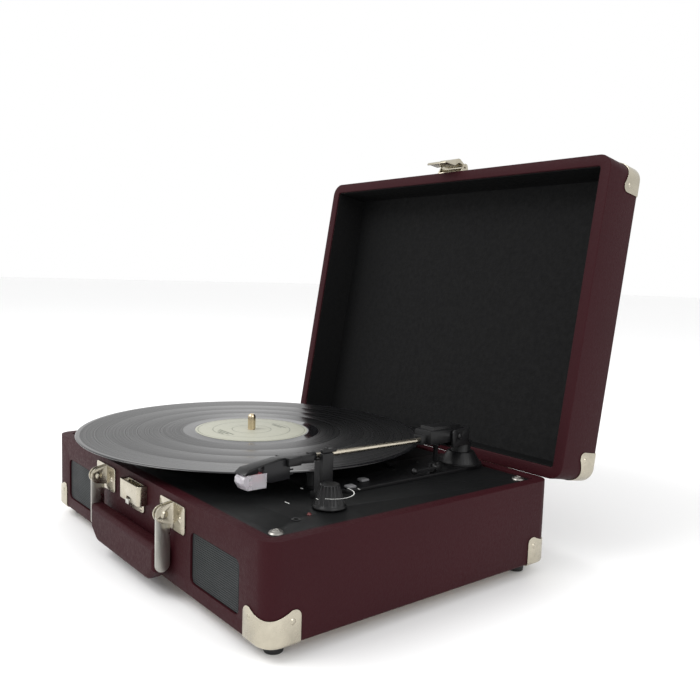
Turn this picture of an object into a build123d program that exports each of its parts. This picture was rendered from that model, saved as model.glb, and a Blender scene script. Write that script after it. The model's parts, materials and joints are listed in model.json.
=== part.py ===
from build123d import *
import math
import os

# Suitcase record player, opened, with a 12 inch record on the platter.
# Millimetres. X to the right seen from the front, Y to the back, Z up.
# The pieces are drawn in a case frame, with its origin on the floor under the middle of the case,
# and are moved at the end so that the origin is under the middle of the whole opened object.

# ---- driving dimensions ----
CASE_W = 360.0          # outside width
CASE_D = 268.0          # outside depth
WALL_H = 65.5           # height of the base walls
LID_H = 45.0            # height of the closed lid
WALL_T = 9.5            # wall thickness with its covering
SKIN = 0.8              # leatherette covering
CORNER_R = 12.0         # upright corners
EDGE_R = 2.0            # long edges
FOOT_H = 10.0
DECK_DROP = 1.5         # deck surface below the rim
DECK_T = 3.0
LID_OPEN = 99.4         # opening angle at the hinge stop
PIN_BEHIND = 4.4        # hinge pin behind the back wall
PIN_BELOW = 7.0         # hinge pin below the rim
LID_GAP = 0.3           # between the closed rims
RECORD_R = 150.8        # 12 inch record
LABEL_R = 50.0
SPINDLE_X = -38.2
SPINDLE_Y = -8.5
RECORD_TOP = 91.2
RECORD_T = 1.4
SPINDLE_R = 3.6
NOSE_R = 3.45           # spindle above the record
NOSE_H = 14.3
NECK_R = 3.0            # step between the spindle and its nose
NECK_H = 0.8
PLATTER_R = 100.0
ARM_X = 106.0           # swing axis of the tonearm
ARM_Y = 109.5
ARM_Z = 100.9           # height of the tube's line over the swing axis
ARM_YAW = 4.7           # arm on its rest, turned outwards
ARM_TILT = 1.66         # tube rising towards the head
LIFT_S = 17.0           # lift axis ahead of the swing axis
LIFT_UP = 1.6           # lift axis above the tube's line
TUBE_R = 2.0
CARRIER_LOW = -2.9      # underside of the arm's housing, from the tube's line
KNOB_X = 139.2
KNOB_Y = -57.6
BOX_X = -3.65           # middle of the whole object in the case frame
BOX_Y = 38.59

# ---- values that follow ----
BASE_Z = FOOT_H
RIM_Z = BASE_Z + WALL_H
DECK_Z = RIM_Z - DECK_DROP
FRONT_Y = -CASE_D / 2
BACK_Y = CASE_D / 2
SIDE_X = CASE_W / 2
IN_W = CASE_W - 2 * WALL_T
IN_D = CASE_D - 2 * WALL_T
IN_R = CORNER_R - WALL_T
FLOOR_T = 5.0
PIN_Y = BACK_Y + PIN_BEHIND
PIN_Z = RIM_Z - PIN_BELOW
LID_Z0 = RIM_Z + LID_GAP
LID_Z1 = LID_Z0 + LID_H
LID_TOP_T = 6.0
LINER_T = 0.8
PLATE_TOP = DECK_Z + 2.5    # mechanism plate
CORNERS = [(1, -1), (1, 1), (-1, 1), (-1, -1)]

nodes = {}


def block(x0, x1, y0, y1, z0, z1):
    """A box between two corners."""
    return Pos((x0 + x1) / 2, (y0 + y1) / 2, (z0 + z1) / 2) * Box(x1 - x0, y1 - y0, z1 - z0)


def rod_z(x, y, z0, z1, r):
    return Pos(x, y, (z0 + z1) / 2) * Cylinder(r, z1 - z0)


def rod_x(x0, x1, y, z, r):
    return Pos((x0 + x1) / 2, y, z) * Rot(0, 90, 0) * Cylinder(r, x1 - x0)


def rod_y(x, y0, y1, z, r):
    return Pos(x, (y0 + y1) / 2, z) * Rot(90, 0, 0) * Cylinder(r, y1 - y0)


def prism(w, d, r, z0, z1):
    """An upright block with rounded corners, centred on the Z axis."""
    return extrude(Pos(0, 0, z0) * RectangleRounded(w, d, r), z1 - z0)


def cone_z(x, y, z0, z1, r0, r1):
    return Pos(x, y, (z0 + z1) / 2) * Cone(r0, r1, z1 - z0)


def window_y(x, z, w, h, r, y0, y1):
    """A rounded window's cutter, through a wall that faces Y."""
    face = Pos(x, y1, z) * Rot(90, 0, 0) * RectangleRounded(w, h, r)
    return extrude(face, y1 - y0)


def dome(x, y, z, r, height, direction):
    """A low domed rivet head standing on a face, pointing along direction."""
    ball_r = (r * r + height * height) / (2 * height)
    plane = Plane(origin=(x, y, z), z_dir=direction)
    cap = Pos(0, 0, height - ball_r) * Sphere(ball_r)
    return plane * (cap & (Pos(0, 0, height / 2) * Cylinder(r, height)))


def ear_x(x, y, z, r, root_y, root_h, thick):
    """An ear facing X: a round end at (y, z), spreading to a straight root."""
    circle = Pos(y, z) * Circle(r)
    root = Pos(root_y, z) * Rectangle(0.8, root_h)
    outline = make_hull(circle.edges() + root.edges())
    plane = Plane(origin=(x, 0, 0), x_dir=(0, 1, 0), z_dir=(1, 0, 0))
    return extrude(plane * outline, thick / 2, both=True)


def joined(pieces):
    """Overlapping or touching shapes as one solid."""
    result = pieces[0]
    for piece in pieces[1:]:
        result = result + piece
    return result


def group(pieces):
    """Separate solids in one node."""
    solids = []
    for piece in pieces:
        solids.extend(piece.solids())
    return Compound(solids)


def opened(shape):
    """The lid's pieces are drawn closed and swing up about the hinge pin."""
    return shape.rotate(Axis((0, PIN_Y, PIN_Z), (1, 0, 0)), -LID_OPEN)


# ---- base: wood walls, leatherette, floor, feet ----
SCREW_X = 161.5         # deck screws, down into the cleats
SCREW_Y = 116.0
GRILLE_X = 117.5
GRILLE_Z = BASE_Z + 28.5
GRILLE_W = 63.0
GRILLE_H = 36.0
GRILLE_R = 5.0
JACK_X = 38.0
JACK_Z = BASE_Z + 26.0
JACK_W = 60.0
JACK_H = 24.0
FOOT_X = 163.0
FOOT_Y = 117.0


def shell_block(inset, z0, z1, bottom_edge, top_edge):
    """The closed outside shape of a case half, inset evenly."""
    shape = prism(CASE_W - 2 * inset, CASE_D - 2 * inset, CORNER_R - inset, z0, z1)
    if bottom_edge:
        shape = fillet(shape.faces().sort_by(Axis.Z)[0].edges(), EDGE_R - inset)
    if top_edge:
        shape = fillet(shape.faces().sort_by(Axis.Z)[-1].edges(), EDGE_R - inset)
    return shape


def base_openings(grow):
    """Cutters for the speaker windows and the rear socket window, larger by grow all round."""
    more = 2 * grow
    cutters = [window_y(side * GRILLE_X, GRILLE_Z, GRILLE_W + more, GRILLE_H + more, GRILLE_R + grow,
                        FRONT_Y - 1, FRONT_Y + WALL_T + 1) for side in (-1, 1)]
    cutters.append(window_y(JACK_X, JACK_Z, JACK_W - 8 + more, JACK_H - 8 + more, 2 + grow,
                            BACK_Y - WALL_T - 1, BACK_Y + 1))
    return joined(cutters)


def make_base():
    turn_in = 14.0          # depth that the covering turns down inside
    cavity = prism(IN_W, IN_D, IN_R, BASE_Z - 1, RIM_Z + 1)
    outside = shell_block(0, BASE_Z, RIM_Z, True, False)
    wood = shell_block(SKIN, BASE_Z + SKIN, RIM_Z - SKIN, True, False)
    wood = wood - cavity
    wood = wood - prism(IN_W + 2 * SKIN, IN_D + 2 * SKIN, IN_R + SKIN, RIM_Z - turn_in, RIM_Z)
    wood = wood - base_openings(SKIN)
    nodes["case_core"] = wood
    nodes["case_covering"] = outside - cavity - wood - base_openings(0)
    nodes["bottom_panel"] = prism(IN_W - 0.4, IN_D - 0.4, IN_R, BASE_Z + 1, BASE_Z + 1 + FLOOR_T)
    feet = []
    for sx, sy in CORNERS:
        foot = cone_z(sx * FOOT_X, sy * FOOT_Y, 0, BASE_Z + 1, 6.2, 7.0)
        feet.append(foot - rod_z(sx * FOOT_X, sy * FOOT_Y, -1, 3, 2.4))
    nodes["rubber_feet"] = group(feet)
    cleats = []
    top = DECK_Z - DECK_T
    for side in (-1, 1):
        x1 = side * IN_W / 2
        x0 = x1 - side * 11
        cleat = block(min(x0, x1), max(x0, x1), -IN_D / 2 + 4, IN_D / 2 - 4, top - 12, top)
        for y in (-SCREW_Y, SCREW_Y):
            cleat = cleat - rod_z(side * SCREW_X, y, top - 10, top + 1, 1.6)
        cleats.append(cleat)
    nodes["deck_cleats"] = group(cleats)


# ---- pressed corner guards with their nails ----
GUARD = 25.0            # reach along each wall
GUARD_T = 0.8
GUARD_TOP = 22.0
GUARD_DIP = 17.5        # height of the hollow on the corner itself


def make_guard():
    """One guard for the corner where both walls end at +X and +Y, standing on z = 0."""
    outer = prism(CASE_W + 2 * GUARD_T, CASE_D + 2 * GUARD_T, CORNER_R + GUARD_T, -GUARD_T, 60)
    outer = fillet(outer.faces().sort_by(Axis.Z)[0].edges(), EDGE_R + GUARD_T)
    inner = prism(CASE_W, CASE_D, CORNER_R, 0, 60)
    inner = fillet(inner.faces().sort_by(Axis.Z)[0].edges(), EDGE_R)
    region = block(SIDE_X - GUARD, SIDE_X + 5, BACK_Y - GUARD, BACK_Y + 5, -5, GUARD_TOP)
    top_ends = [e for e in region.edges().filter_by(Axis.Y).group_by(Axis.Z)[-1]
                if e.center().X < SIDE_X]
    top_ends += [e for e in region.edges().filter_by(Axis.X).group_by(Axis.Z)[-1]
                 if e.center().Y < BACK_Y]
    region = fillet(top_ends, 5)
    lip = region & (outer - inner)
    bottom_cut = Pos(SIDE_X - GUARD, BACK_Y - GUARD, -GUARD_T / 2) * Cylinder(GUARD - 6, 3)
    lip = lip - bottom_cut
    hollow_r = 22.0
    hollow = Pos(SIDE_X, BACK_Y, GUARD_DIP + hollow_r) * Rot(0, 0, 45) * Rot(0, 90, 0)
    return lip - hollow * Cylinder(hollow_r, 60)


def make_guard_nails():
    """The two nail heads of the same corner."""
    along = GUARD - 6.5
    height = GUARD_TOP - 7.0
    return [
        dome(SIDE_X + GUARD_T, BACK_Y - along, height, 2.1, 0.9, (1, 0, 0)),
        dome(SIDE_X - along, BACK_Y + GUARD_T, height, 2.1, 0.9, (0, 1, 0)),
    ]


def turned(shape, sx, sy):
    """The corner piece carried to another upright corner."""
    if sx < 0:
        shape = shape.mirror(Plane.YZ)
    if sy < 0:
        shape = shape.mirror(Plane.XZ)
    return shape


# ---- front: grilles, speakers, handle, latch keeper ----
HANDLE_X = 60.0
HANDLE_PIN_Y = FRONT_Y - 8.0
HANDLE_PIN_Z = BASE_Z + 53.0
BRACKET_W = 38.0
BRACKET_H = 20.0
BRACKET_T = 1.2
ARM_STRIP_T = 1.5
ARM_STRIP_W = 11.0
GRIP_TOP = BASE_Z + 30.0
GRIP_BOTTOM = BASE_Z + 2.0
STRIP_END = BASE_Z + 16.5    # middle of the strip's round lower end


def make_grille(side):
    """A woven plastic panel set in the wall's window, with fine ribs across."""
    x = side * GRILLE_X
    y0 = FRONT_Y + 1.6
    sheet = window_y(x, GRILLE_Z, GRILLE_W - 0.2, GRILLE_H - 0.2, GRILLE_R - 0.1, y0, y0 + 1.2)
    ribs = []
    count = 23
    pitch = (GRILLE_H - 3.0) / (count - 1)
    for i in range(count):
        z = GRILLE_Z - (GRILLE_H - 3.0) / 2 + i * pitch
        ribs.append(block(x - GRILLE_W / 2 + 2.5, x + GRILLE_W / 2 - 2.5, y0 - 0.5, y0 + 0.1, z - 0.35, z + 0.35))
    return joined([sheet] + ribs)


def make_speakers():
    baskets = []
    cones = []
    wall = FRONT_Y + WALL_T
    for side in (-1, 1):
        x = side * GRILLE_X
        z = GRILLE_Z
        flange = rod_y(x, wall, wall + 1.5, z, 22) - rod_y(x, wall - 1, wall + 2, z, 18)
        bowl = Pos(x, wall + 7.75, z) * Rot(-90, 0, 0) * Cone(20.0, 12, 12.5)
        hollow = Pos(x, wall + 7.2, z) * Rot(-90, 0, 0) * Cone(18.8, 10.8, 13.6)
        magnet = rod_y(x, wall + 14, wall + 23, z, 15)
        baskets.append(joined([flange, bowl - hollow, magnet]))
        cone = Pos(x, wall + 5.2, z) * Rot(-90, 0, 0) * Cone(17.0, 7.0, 8.0)
        inside = Pos(x, wall + 4.0, z) * Rot(-90, 0, 0) * Cone(17.0, 7.0, 8.0)
        surround = rod_y(x, wall + 0.3, wall + 1.5, z, 18) - rod_y(x, wall, wall + 2, z, 16.2)
        cap = (Pos(x, wall + 8.5, z) * Sphere(5.0)) & rod_y(x, wall + 3, wall + 8.8, z, 6)
        cones.append(joined([cone - inside, surround, cap]))
    nodes["speaker_baskets"] = group(baskets)
    nodes["speaker_cones"] = group(cones)


def make_brackets():
    """Two plates with a pair of ears each, which hold the handle's ends."""
    brackets = []
    pins = []
    z_mid = BASE_Z + 51.0
    for side in (-1, 1):
        x = side * HANDLE_X
        plate = window_y(x, z_mid, BRACKET_W, BRACKET_H, 2.5, FRONT_Y - BRACKET_T, FRONT_Y)
        pieces = [plate]
        for ear in (-1, 1):
            pieces.append(ear_x(x + ear * 2.2, HANDLE_PIN_Y, HANDLE_PIN_Z, 6.4, FRONT_Y - 0.6, 15.6, 1.2))
        bracket = joined(pieces)
        brackets.append(bracket - rod_x(x - 5, x + 5, HANDLE_PIN_Y, HANDLE_PIN_Z, 1.5))
        pin = rod_x(x - 2.9, x + 2.9, HANDLE_PIN_Y, HANDLE_PIN_Z, 1.5)
        heads = [dome(x + s * 2.8, HANDLE_PIN_Y, HANDLE_PIN_Z, 2.8, 1.1, (s, 0, 0)) for s in (-1, 1)]
        pins.append(joined([pin] + heads))
    nodes["handle_brackets"] = group(brackets)
    nodes["handle_pins"] = group(pins)


def make_handle():
    """Steel strips at the ends and a padded grip between them, hanging down."""
    strips = []
    for side in (-1, 1):
        x = side * HANDLE_X
        strip = block(x - ARM_STRIP_T / 2, x + ARM_STRIP_T / 2, HANDLE_PIN_Y - ARM_STRIP_W / 2,
                      HANDLE_PIN_Y + ARM_STRIP_W / 2, STRIP_END, HANDLE_PIN_Z)
        eye = rod_x(x - ARM_STRIP_T / 2, x + ARM_STRIP_T / 2, HANDLE_PIN_Y, HANDLE_PIN_Z, ARM_STRIP_W / 2)
        foot = rod_x(x - ARM_STRIP_T / 2, x + ARM_STRIP_T / 2, HANDLE_PIN_Y, STRIP_END, ARM_STRIP_W / 2)
        strip = joined([strip, eye, foot])
        strips.append(strip - rod_x(x - 2, x + 2, HANDLE_PIN_Y, HANDLE_PIN_Z, 1.55))
    nodes["handle_arms"] = group(strips)
    half = HANDLE_X - ARM_STRIP_T / 2
    outline = Polyline((-half, GRIP_TOP), (half, GRIP_TOP), (half, GRIP_BOTTOM + 9), (half - 12, GRIP_BOTTOM),
                       (-half + 12, GRIP_BOTTOM), (-half, GRIP_BOTTOM + 9), close=True)
    face = make_face(outline)
    face = fillet(face.vertices().group_by(Axis.Y)[0], 10)
    plane = Plane(origin=(0, HANDLE_PIN_Y, 0), x_dir=(1, 0, 0), z_dir=(0, -1, 0))
    grip = extrude(plane * face, 6.4, both=True)
    grip = fillet(grip.faces().sort_by(Axis.Y)[0].edges() + grip.faces().sort_by(Axis.Y)[-1].edges(), 4.0)
    nodes["handle_grip"] = grip


def make_keeper():
    """The latch's lower half: a folded box with a slot at the top and a keyhole below."""
    top = BASE_Z + 61.0
    low = window_y(0, top - 12, 27, 21, 2.5, FRONT_Y - 1.2, FRONT_Y)
    box = block(-17.5, 17.5, FRONT_Y - 7.5, FRONT_Y, top - 15, top)
    box = fillet(box.edges().filter_by(Axis.Z).group_by(Axis.Y)[0], 3)
    hollow = block(-13.5, 13.5, FRONT_Y - 6.3, FRONT_Y - 1.2, top - 20, top + 1)
    keeper = (low + box) - hollow
    keyhole = window_y(0, top - 15.5, 8, 9, 2, FRONT_Y - 9, FRONT_Y - 5)
    nodes["latch_keeper"] = keeper - keyhole
    slider = block(-11, 11, FRONT_Y - 3.4, FRONT_Y - 1.5, top - 14, top - 5)
    button = block(-2.8, 2.8, FRONT_Y - 8.6, FRONT_Y - 3.4, top - 16.4, top - 12.5)
    nodes["latch_slider"] = slider + button


def make_case_nails():
    """Every nail and rivet on the base: guards, handle brackets and keeper."""
    nails = []
    for sx, sy in CORNERS:
        for nail in make_guard_nails():
            nails.append(turned(Pos(0, 0, BASE_Z) * nail, sx, sy))
    for side in (-1, 1):
        for dx in (-12, 12):
            nails.append(dome(side * HANDLE_X + dx, FRONT_Y - BRACKET_T, BASE_Z + 50.5, 2.4, 1.1, (0, -1, 0)))
    for dx in (-9, 9):
        nails.append(dome(dx, FRONT_Y - 1.2, BASE_Z + 42.0, 1.7, 0.8, (0, -1, 0)))
    nodes["case_nails"] = group(nails)


# ---- hinges ----
HINGE_X = 105.0
HINGE_W = 40.0
KNUCKLE_R = 3.0
LEAF_T = 1.2


def make_hinges():
    """Offset leaves on both halves, with five knuckles round one pin."""
    case_leaves = []
    lid_leaves = []
    pins = []
    step = HINGE_W / 5
    for side in (-1, 1):
        x = side * HINGE_X
        low = window_y(x, PIN_Z - 17, HINGE_W, 20, 2, BACK_Y, BACK_Y + LEAF_T)
        high = window_y(x, LID_Z0 + 12, HINGE_W, 18, 2, BACK_Y, BACK_Y + LEAF_T)
        for i in range(5):
            x0 = x - HINGE_W / 2 + i * step + 0.15
            x1 = x0 + step - 0.3
            knuckle = rod_x(x0, x1, PIN_Y, PIN_Z, KNUCKLE_R)
            if i % 2 == 0:
                web = block(x0, x1, BACK_Y, PIN_Y, PIN_Z - KNUCKLE_R, PIN_Z - KNUCKLE_R + LEAF_T)
                drop = block(x0, x1, BACK_Y, BACK_Y + LEAF_T, PIN_Z - 8, PIN_Z - KNUCKLE_R + LEAF_T)
                low = joined([low, web, drop, knuckle])
            else:
                web = block(x0, x1, PIN_Y + KNUCKLE_R - LEAF_T, PIN_Y + KNUCKLE_R, PIN_Z, LID_Z0 + 6)
                reach = block(x0, x1, BACK_Y, PIN_Y + KNUCKLE_R, LID_Z0 + 4.8, LID_Z0 + 6)
                high = joined([high, web, reach, knuckle])
        bore = rod_x(x - HINGE_W, x + HINGE_W, PIN_Y, PIN_Z, 1.5)
        running = rod_x(x - HINGE_W, x + HINGE_W, PIN_Y, PIN_Z, 1.55)
        case_leaves.append(low - bore)
        lid_leaves.append(high - running)
        pins.append(rod_x(x - HINGE_W / 2 - 0.5, x + HINGE_W / 2 + 0.5, PIN_Y, PIN_Z, 1.5))
    nodes["hinge_case_leaves"] = group(case_leaves)
    nodes["hinge_lid_leaves"] = opened(group(lid_leaves))
    nodes["hinge_pins"] = group(pins)


# ---- lid ----
def make_lid():
    turn_in = 1.6
    outside = shell_block(0, LID_Z0, LID_Z1, False, True)
    wood = shell_block(SKIN, LID_Z0 + SKIN, LID_Z1 - SKIN, False, True)
    cavity = prism(IN_W, IN_D, IN_R, LID_Z0 - 1, LID_Z1 - LID_TOP_T)
    rebate = prism(IN_W + 2 * SKIN, IN_D + 2 * SKIN, IN_R + SKIN, LID_Z0, LID_Z0 + turn_in)
    wood = wood - cavity - rebate
    nodes["lid_covering"] = opened(outside - cavity - wood)
    nodes["lid_core"] = opened(wood)
    top = LID_Z1 - LID_TOP_T
    tray = prism(IN_W, IN_D, IN_R, LID_Z0 + turn_in, top)
    room = prism(IN_W - 2 * LINER_T, IN_D - 2 * LINER_T, IN_R - LINER_T, LID_Z0, top - LINER_T)
    nodes["lid_liner"] = opened(tray - room)


def make_lid_hardware():
    flip = Pos(0, 0, LID_Z1) * Rot(180, 0, 0)
    guards = []
    nails = []
    for sx, sy in CORNERS:
        guards.append(flip * turned(make_guard(), sx, sy))
        for nail in make_guard_nails():
            nails.append(flip * turned(nail, sx, sy))
    knuckle_y = FRONT_Y - 5.6
    knuckle_z = LID_Z0 + 7.0
    leaf = [window_y(0, LID_Z0 + 11, 34, 18, 2, FRONT_Y - 1.0, FRONT_Y)]
    for side in (-1, 1):
        leaf.append(ear_x(side * 15.0, knuckle_y, knuckle_z, 3.2, FRONT_Y - 0.5, 11, 1.2))
    leaf = joined(leaf) - rod_x(-20, 20, knuckle_y, knuckle_z, 1.25)
    for dx in (-11, 11):
        nails.append(dome(dx, FRONT_Y - 1.0, LID_Z0 + 16.4, 1.6, 0.7, (0, -1, 0)))
    nodes["lid_guards"] = opened(group(guards))
    nodes["lid_nails"] = opened(group(nails))
    nodes["latch_leaf"] = opened(leaf)
    outer = [(-18.2, 3.4), (-17.4, 5.2), (-5.0, 5.6), (-3.4, 9.6), (-0.6, 12.2), (1.6, 12.4), (9.5, 8.4), (11.0, 6.4)]
    inner = [(10.2, 5.6), (8.6, 7.2), (5.0, 8.2), (1.0, 8.6), (-1.6, 6.4), (-4.0, 4.2), (-16.4, 3.9), (-17.4, 2.8)]
    outline = make_face(Polyline(*[(FRONT_Y - out, LID_Z0 + up) for up, out in outer + inner], close=True))
    plane = Plane(origin=(0, 0, 0), x_dir=(0, 1, 0), z_dir=(1, 0, 0))
    hook = extrude(plane * outline, 12, both=True)
    barrel = rod_x(-14.0, 14.0, knuckle_y, knuckle_z, 2.8)
    pin = rod_x(-16.4, 16.4, knuckle_y, knuckle_z, 1.2)
    nodes["latch_hasp"] = opened(joined([hook, barrel, pin]))


# ---- deck ----
JACK35_X = 147.8
JACK35_Y = -91.3
LED_X = 144.0
LED_Y = -78.0
MOTOR_R = 88.0
MOTOR_ANGLE = 210.0
MOTOR_X = SPINDLE_X + MOTOR_R * math.cos(math.radians(MOTOR_ANGLE))
MOTOR_Y = SPINDLE_Y + MOTOR_R * math.sin(math.radians(MOTOR_ANGLE))
PULLEY_R = 6.4
RING_R = 74.0
PEG_X = 93.0
PEG_Y = -39.5


def make_deck():
    deck = prism(IN_W - 0.6, IN_D - 0.6, IN_R - 0.3, DECK_Z - DECK_T, DECK_Z)
    peg_foot = cone_z(PEG_X, PEG_Y, DECK_Z, DECK_Z + 2.2, 5.4, 3.4)
    peg = rod_z(PEG_X, PEG_Y, DECK_Z, DECK_Z + 13.0, 3.1)
    boss = rod_z(SPINDLE_X, SPINDLE_Y, DECK_Z - 12, DECK_Z + 1.0, 9)
    deck = joined([deck, peg_foot, peg, boss])
    holes = [rod_z(SPINDLE_X, SPINDLE_Y, DECK_Z - 20, DECK_Z + 5, SPINDLE_R),
             rod_z(MOTOR_X, MOTOR_Y, DECK_Z - 9, DECK_Z + 5, 4.0),
             rod_z(KNOB_X, KNOB_Y, DECK_Z - 9, DECK_Z + 5, 3.6),
             rod_z(LED_X, LED_Y, DECK_Z - 9, DECK_Z + 5, 1.6),
             rod_z(JACK35_X, JACK35_Y, DECK_Z - 9, DECK_Z + 5, 3.0)]
    for sx, sy in CORNERS:
        holes.append(rod_z(sx * SCREW_X, sy * SCREW_Y, DECK_Z - 9, DECK_Z + 5, 1.6))
    for hole in holes:
        deck = deck - hole
    nodes["deck_panel"] = deck
    screws = []
    for sx, sy in CORNERS:
        x = sx * SCREW_X
        y = sy * SCREW_Y
        cup = cone_z(x, y, DECK_Z, DECK_Z + 1.2, 5.0, 4.2)
        head = dome(x, y, DECK_Z + 1.2, 3.4, 1.4, (0, 0, 1))
        slot = block(x - 2.2, x + 2.2, y - 0.35, y + 0.35, DECK_Z + 1.7, DECK_Z + 4)
        cross = block(x - 0.35, x + 0.35, y - 2.2, y + 2.2, DECK_Z + 1.7, DECK_Z + 4)
        shank = rod_z(x, y, DECK_Z - DECK_T - 10, DECK_Z, 1.6)
        screws.append(joined([cup, head, shank]) - slot - cross)
    nodes["deck_screws"] = group(screws)
    led = rod_z(LED_X, LED_Y, DECK_Z - 8, DECK_Z, 1.6) + (Pos(LED_X, LED_Y, DECK_Z - 0.2) * Sphere(1.6))
    nodes["power_led"] = led
    jack_body = block(JACK35_X - 6, JACK35_X + 6, JACK35_Y - 6, JACK35_Y + 6, DECK_Z - 15, DECK_Z - DECK_T)
    collar = rod_z(JACK35_X, JACK35_Y, DECK_Z - DECK_T, DECK_Z + 0.5, 3.0)
    nodes["headphone_jack"] = (jack_body + collar) - rod_z(JACK35_X, JACK35_Y, DECK_Z - 14, DECK_Z + 1, 1.75)


def make_electronics():
    pot_body = rod_z(KNOB_X, KNOB_Y, DECK_Z - 13, DECK_Z - DECK_T, 8)
    neck = rod_z(KNOB_X, KNOB_Y, DECK_Z - DECK_T, DECK_Z + 0.8, 3.6)
    nodes["volume_potentiometer"] = (pot_body + neck) - rod_z(KNOB_X, KNOB_Y, DECK_Z - 12, DECK_Z + 2, 3.05)
    board_top = DECK_Z - 22
    board = block(84, 150, -92, 10, board_top - 1.6, board_top)
    chips = [block(100, 112, -60, -44, board_top, board_top + 3), block(120, 134, -30, -18, board_top, board_top + 5)]
    caps = [rod_z(96 + 12 * i, -78, board_top, board_top + 12, 4) for i in range(3)]
    posts = [rod_z(x, y, board_top, DECK_Z - DECK_T, 2.5) for x in (90, 132) for y in (-86, 4)]
    nodes["amplifier_board"] = joined([board] + chips + caps + posts)
    plate = window_y(JACK_X, JACK_Z, JACK_W, JACK_H, 3, BACK_Y, BACK_Y + 1.5)
    plate = plate + window_y(JACK_X, JACK_Z, JACK_W - 8.4, JACK_H - 8.4, 2, BACK_Y - 8, BACK_Y + 0.5)
    sockets = []
    for dx in (-18, 0):
        x = JACK_X + dx
        plate = plate - rod_y(x, BACK_Y - 10, BACK_Y + 3, JACK_Z, 4.3)
        socket = rod_y(x, BACK_Y - 12, BACK_Y + 8.5, JACK_Z, 4.15) - rod_y(x, BACK_Y - 3, BACK_Y + 10, JACK_Z, 1.6)
        sockets.append(socket + rod_y(x, BACK_Y + 1.5, BACK_Y + 2.3, JACK_Z, 5.2)
                       - rod_y(x, BACK_Y - 3, BACK_Y + 10, JACK_Z, 1.6))
    x = JACK_X + 20
    plate = plate - rod_y(x, BACK_Y - 10, BACK_Y + 3, JACK_Z, 4.8)
    inlet = rod_y(x, BACK_Y - 12, BACK_Y + 1.5, JACK_Z, 4.8) - rod_y(x, BACK_Y - 9, BACK_Y + 3, JACK_Z, 2.75)
    sockets.append(inlet + rod_y(x, BACK_Y - 10, BACK_Y - 2, JACK_Z, 1.0))
    nodes["rear_jack_plate"] = plate
    nodes["rear_sockets"] = group(sockets)


# ---- drive ----
BELT_T = 0.8
BELT_W = 5.0
BELT_Z = DECK_Z + 6.5


def make_drive():
    motor_top = DECK_Z - DECK_T
    can = rod_z(MOTOR_X, MOTOR_Y, motor_top - 26, motor_top, 17)
    can = fillet(can.edges().group_by(Axis.Z)[0], 2)
    nodes["motor_can"] = can - rod_z(MOTOR_X, MOTOR_Y, motor_top - 20, motor_top + 1, 1.55)
    shaft = rod_z(MOTOR_X, MOTOR_Y, motor_top - 18, BELT_Z + 3.5, 1.5)
    pulley = rod_z(MOTOR_X, MOTOR_Y, BELT_Z - 3.0, BELT_Z + 3.0, PULLEY_R)
    rims = [rod_z(MOTOR_X, MOTOR_Y, BELT_Z + s * 3.4 - 0.4, BELT_Z + s * 3.4 + 0.4, PULLEY_R + 1.4) for s in (-1, 1)]
    nodes["motor_pulley"] = joined([shaft, pulley] + rims)
    clear = 0.3
    loops = []
    for extra in (clear + BELT_T, clear):
        big = Pos(SPINDLE_X, SPINDLE_Y, 0) * Circle(RING_R + extra)
        small = Pos(MOTOR_X, MOTOR_Y, 0) * Circle(PULLEY_R + extra)
        loops.append(make_hull(big.edges() + small.edges()))
    belt = extrude(loops[0] - loops[1], BELT_W)
    nodes["drive_belt"] = Pos(0, 0, BELT_Z - BELT_W / 2) * belt
    nose = rod_z(SPINDLE_X, SPINDLE_Y, RECORD_TOP + NECK_H, RECORD_TOP + NOSE_H, NOSE_R)
    nose = fillet(nose.edges().group_by(Axis.Z)[-1], 3.0)
    neck = rod_z(SPINDLE_X, SPINDLE_Y, RECORD_TOP, RECORD_TOP + NECK_H, NECK_R)
    shaft = rod_z(SPINDLE_X, SPINDLE_Y, DECK_Z - 16, RECORD_TOP + 0.3, SPINDLE_R)
    nodes["spindle"] = joined([shaft, neck, nose, rod_z(SPINDLE_X, SPINDLE_Y, DECK_Z - 16, DECK_Z - 12, 8)])


def make_platter():
    centre = Pos(SPINDLE_X, SPINDLE_Y, 0)
    mat_top = RECORD_TOP - RECORD_T - 0.2
    mat_t = 1.6
    top = mat_top - mat_t
    disc = Pos(0, 0, top - 1.5) * Cylinder(PLATTER_R, 3)
    skirt_z0 = DECK_Z + 4.0
    skirt = rod_z(0, 0, skirt_z0, top, PLATTER_R) - rod_z(0, 0, skirt_z0 - 1, top + 1, PLATTER_R - 2.5)
    ring = rod_z(0, 0, BELT_Z - 3.5, top - 2, RING_R) - rod_z(0, 0, BELT_Z - 5, top + 1, RING_R - 3)
    hub = rod_z(0, 0, DECK_Z + 1.4, top, 11)
    bush_r = 6.0
    platter = joined([disc, skirt, ring, hub]) - rod_z(0, 0, DECK_Z, top + 5, bush_r)
    bush = rod_z(0, 0, DECK_Z + 1.4, top, bush_r) - rod_z(0, 0, DECK_Z, top + 5, SPINDLE_R + 0.05)
    nodes["platter"] = centre * platter
    nodes["platter_bush"] = centre * bush
    mat = rod_z(0, 0, top, mat_top, PLATTER_R - 2) - rod_z(0, 0, top - 1, mat_top + 1, SPINDLE_R + 0.4)
    for r in (46, 60, 74, 88):
        mat = mat - (rod_z(0, 0, mat_top - 0.5, mat_top + 1, r + 2) - rod_z(0, 0, mat_top - 1, mat_top + 2, r))
    nodes["platter_mat"] = centre * mat
    z0 = RECORD_TOP - RECORD_T
    vinyl = rod_z(0, 0, z0, RECORD_TOP, RECORD_R)
    vinyl = chamfer(vinyl.edges(), 0.45)
    bore = rod_z(0, 0, z0 - 1, RECORD_TOP + 1, SPINDLE_R + 0.05)
    nodes["record_disc"] = centre * (vinyl - bore)
    label = rod_z(0, 0, RECORD_TOP, RECORD_TOP + 0.1, LABEL_R) - bore
    nodes["record_label"] = centre * label


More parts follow.
